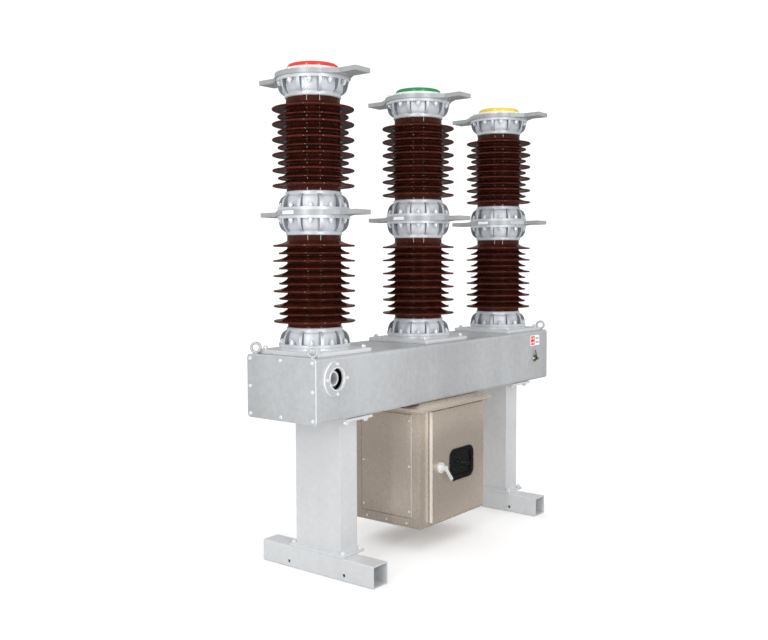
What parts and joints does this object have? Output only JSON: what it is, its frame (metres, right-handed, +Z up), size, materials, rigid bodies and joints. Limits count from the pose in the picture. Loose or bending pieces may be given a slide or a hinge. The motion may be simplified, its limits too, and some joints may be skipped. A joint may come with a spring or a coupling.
{
  "type": "gas insulated circuit breaker, three-pole live-tank, medium voltage",
  "caption": "Outdoor gas insulated circuit breaker: porcelain poles on a common galvanised beam, legs on square feet, and a stainless drive cabinet with a glazed door.",
  "frame": {"origin": "on the ground under the middle pole, at the centre of the bounding box's underside", "axes": "+X along the beam, -Y the front with the door, drive port and indicator, +Z up"},
  "size_m": [2.01, 0.66, 2.255],
  "materials": {
    "galvanised_steel": "matt hot-dip galvanised with faint mottling",
    "cast_alloy": "sand cast, satin",
    "brown_glaze": "glossy dark red-brown glaze",
    "stainless_sheet": "brushed stainless, warm",
    "black_rubber": "satin",
    "window_glass": "clear",
    "handle_chrome": "polished",
    "drive_paint": "satin grey paint",
    "label_face": "two-colour label",
    "indicator_brass": "dull",
    "pointer_black": "black paint",
    "red_paint": "glossy",
    "green_paint": "glossy",
    "yellow_paint": "glossy"
  },
  "bodies": {
    "frame": {"beam": "galvanised_steel", "end_covers": "galvanised_steel", "port_flange": "galvanised_steel", "port_bearing": "cast_alloy", "lifting_eyes": "galvanised_steel", "legs": "galvanised_steel", "feet": "galvanised_steel", "label_plate": "label_face", "indicator_base": "indicator_brass", "cabinet_body": "stainless_sheet", "cabinet_canopy": "stainless_sheet", "cabinet_hangers": "galvanised_steel", "cabinet_side_panels": "stainless_sheet", "door_hinges": "stainless_sheet", "drive_unit": "drive_paint", "left_base_plate": "galvanised_steel", "left_lower_flange": "cast_alloy", "left_lower_insulator": "brown_glaze", "left_middle_flanges": "cast_alloy", "left_lower_terminal": "cast_alloy", "left_upper_insulator": "brown_glaze", "left_top_flange": "cast_alloy", "left_upper_terminal": "cast_alloy", "left_cap": "red_paint", "middle_base_plate": "galvanised_steel", "middle_lower_flange": "cast_alloy", "middle_lower_insulator": "brown_glaze", "middle_middle_flanges": "cast_alloy", "middle_lower_terminal": "cast_alloy", "middle_upper_insulator": "brown_glaze", "middle_top_flange": "cast_alloy", "middle_upper_terminal": "cast_alloy", "middle_cap": "green_paint", "right_base_plate": "galvanised_steel", "right_lower_flange": "cast_alloy", "right_lower_insulator": "brown_glaze", "right_middle_flanges": "cast_alloy", "right_lower_terminal": "cast_alloy", "right_upper_insulator": "brown_glaze", "right_top_flange": "cast_alloy", "right_upper_terminal": "cast_alloy", "right_cap": "yellow_paint"},
    "door": {"door": "stainless_sheet", "window_gasket": "black_rubber", "window_glass": "window_glass"},
    "handle": {"door_handle": "handle_chrome"},
    "pointer": {"indicator_pointer": "pointer_black"}
  },
  "joints": [
    {"name": "door_hinge", "type": "hinge", "parent": "frame", "child": "door", "pos_m": [0.2585, -0.2195, 0.399], "axis": [0, 0, 1], "range_deg": [0, 120]},
    {"name": "handle_turn", "type": "hinge", "parent": "door", "child": "handle", "pos_m": [-0.131, -0.236, 0.397], "axis": [0, -1, 0], "range_deg": [-40, 50]},
    {"name": "pointer_turn", "type": "hinge", "parent": "frame", "child": "pointer", "pos_m": [0.85, -0.215, 0.848], "axis": [0, 1, 0], "range_deg": [0, 30]}
  ]
}
